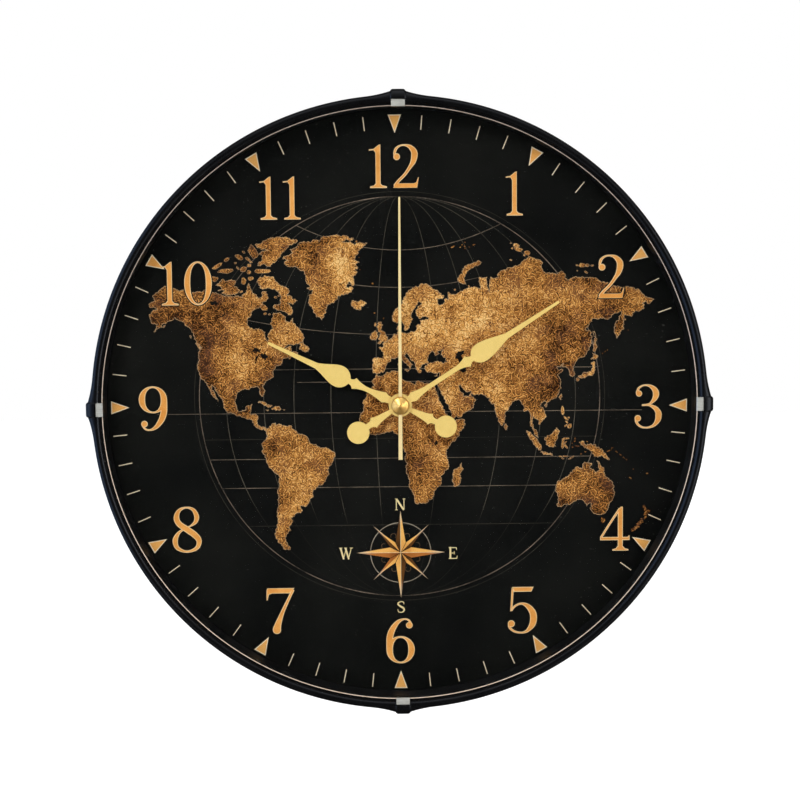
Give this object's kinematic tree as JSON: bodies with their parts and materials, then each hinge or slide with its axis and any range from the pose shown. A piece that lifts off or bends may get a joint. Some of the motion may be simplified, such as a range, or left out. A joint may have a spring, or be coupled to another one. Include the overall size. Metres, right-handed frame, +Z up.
{
  "type": "world map wall clock",
  "caption": "Round quartz wall clock with a dark world map dial, gilt numerals and spade hands under glass, black bezel with silver clips, and a battery movement with a working gear train.",
  "frame": {"origin": "Middle of the clock's box, on the axis of the hands.", "axes": "+Z up through 12 o'clock, +X towards 3 o'clock seen from the front, +Y from the dial into the wall; the dial faces -Y."},
  "size_m": [0.3, 0.0383, 0.3],
  "materials": {
    "bezel_black": "glossy black moulding",
    "clip_silver": "satin silver spring strip",
    "lens_glass": "clear flat glass",
    "dial_print": "near-black sheet with gilt print",
    "case_black": "matt black moulding",
    "gasket_rubber": "soft black rubber",
    "fixing_brass": "turned brass",
    "movement_black": "fine textured black moulding",
    "plate_ivory": "plain ivory moulding",
    "gear_white": "natural white acetal",
    "magnet_grey": "dark sintered magnet",
    "motor_steel": "soft iron sheet",
    "copper_wire": "enamelled copper winding",
    "board_green": "green circuit board",
    "chip_black": "black resin drop",
    "contact_nickel": "nickel-plated spring strip",
    "cell_sleeve": "plain dark sleeve",
    "hand_gold": "pale gold anodised sheet",
    "cap_brass": "polished brass dome"
  },
  "bodies": {
    "clock_body": {"front_bezel": "bezel_black", "clip_3": "clip_silver", "clip_12": "clip_silver", "clip_9": "clip_silver", "clip_6": "clip_silver", "lens": "lens_glass", "dial": "dial_print", "back_case": "case_black", "rubber_gasket": "gasket_rubber", "dial_washer": "fixing_brass", "hex_nut": "fixing_brass", "centre_bush": "fixing_brass", "movement_housing": "movement_black", "movement_cover": "movement_black", "middle_plate": "plate_ivory", "stator": "motor_steel", "coil_core": "motor_steel", "coil_bobbin": "plate_ivory", "coil_winding": "copper_wire", "circuit_board": "board_green", "chip": "chip_black", "crystal": "contact_nickel", "positive_contact": "contact_nickel", "negative_contact": "contact_nickel"},
    "second_hand_body": {"second_wheel": "gear_white", "second_hand": "hand_gold", "second_cap": "cap_brass"},
    "minute_hand_body": {"minute_arbor": "fixing_brass", "minute_hand": "hand_gold"},
    "hour_hand_body": {"hour_wheel": "gear_white", "hour_hand": "hand_gold"},
    "centre_wheel_body": {"centre_wheel": "gear_white"},
    "third_wheel_body": {"third_wheel": "gear_white"},
    "fifth_wheel_body": {"fifth_wheel": "gear_white"},
    "rotor_body": {"rotor_pinion": "gear_white", "rotor_magnet": "magnet_grey"},
    "motion_wheel_body": {"motion_wheel": "gear_white"},
    "knob_body": {"setting_arbor": "gear_white", "setting_knob": "movement_black"},
    "cell_body": {"cell": "cell_sleeve"}
  },
  "joints": [
    {"name": "second_turn", "type": "hinge", "parent": "clock_body", "child": "second_hand_body", "pos_m": [0, 0, 0], "axis": [0, 1, 0], "continuous": true},
    {"name": "fifth_turn", "type": "hinge", "parent": "clock_body", "child": "fifth_wheel_body", "pos_m": [0.00152, 0, 0.00862], "axis": [0, 1, 0], "continuous": true},
    {"name": "rotor_turn", "type": "hinge", "parent": "clock_body", "child": "rotor_body", "pos_m": [0.00482, 0, 0.01433], "axis": [0, 1, 0], "continuous": true},
    {"name": "third_turn", "type": "hinge", "parent": "clock_body", "child": "third_wheel_body", "pos_m": [0.0101, 0, 0.00142], "axis": [0, 1, 0], "continuous": true},
    {"name": "centre_turn", "type": "hinge", "parent": "clock_body", "child": "centre_wheel_body", "pos_m": [0, 0, 0], "axis": [0, 1, 0], "continuous": true},
    {"name": "minute_turn", "type": "hinge", "parent": "clock_body", "child": "minute_hand_body", "pos_m": [0, 0, 0], "axis": [0, 1, 0], "continuous": true},
    {"name": "motion_turn", "type": "hinge", "parent": "clock_body", "child": "motion_wheel_body", "pos_m": [-0.00779, 0, 0.0045], "axis": [0, 1, 0], "continuous": true},
    {"name": "hour_turn", "type": "hinge", "parent": "clock_body", "child": "hour_hand_body", "pos_m": [0, 0, 0], "axis": [0, 1, 0], "continuous": true},
    {"name": "knob_turn", "type": "hinge", "parent": "clock_body", "child": "knob_body", "pos_m": [-0.01621, 0, 0.00598], "axis": [0, 1, 0], "continuous": true},
    {"name": "cell_slide", "type": "slide", "parent": "clock_body", "child": "cell_body", "axis": [0, 1, 0], "range_m": [0, 0.03]}
  ],
  "couplings": [
    {"joint": "fifth_turn", "follows": "second_turn", "ratio": -6},
    {"joint": "rotor_turn", "follows": "second_turn", "ratio": 30},
    {"joint": "third_turn", "follows": "second_turn", "ratio": -0.13333},
    {"joint": "centre_turn", "follows": "second_turn", "ratio": 0.016667},
    {"joint": "motion_turn", "follows": "minute_turn", "ratio": -0.33333},
    {"joint": "hour_turn", "follows": "minute_turn", "ratio": 0.083333},
    {"joint": "knob_turn", "follows": "minute_turn", "ratio": 1.25}
  ]
}
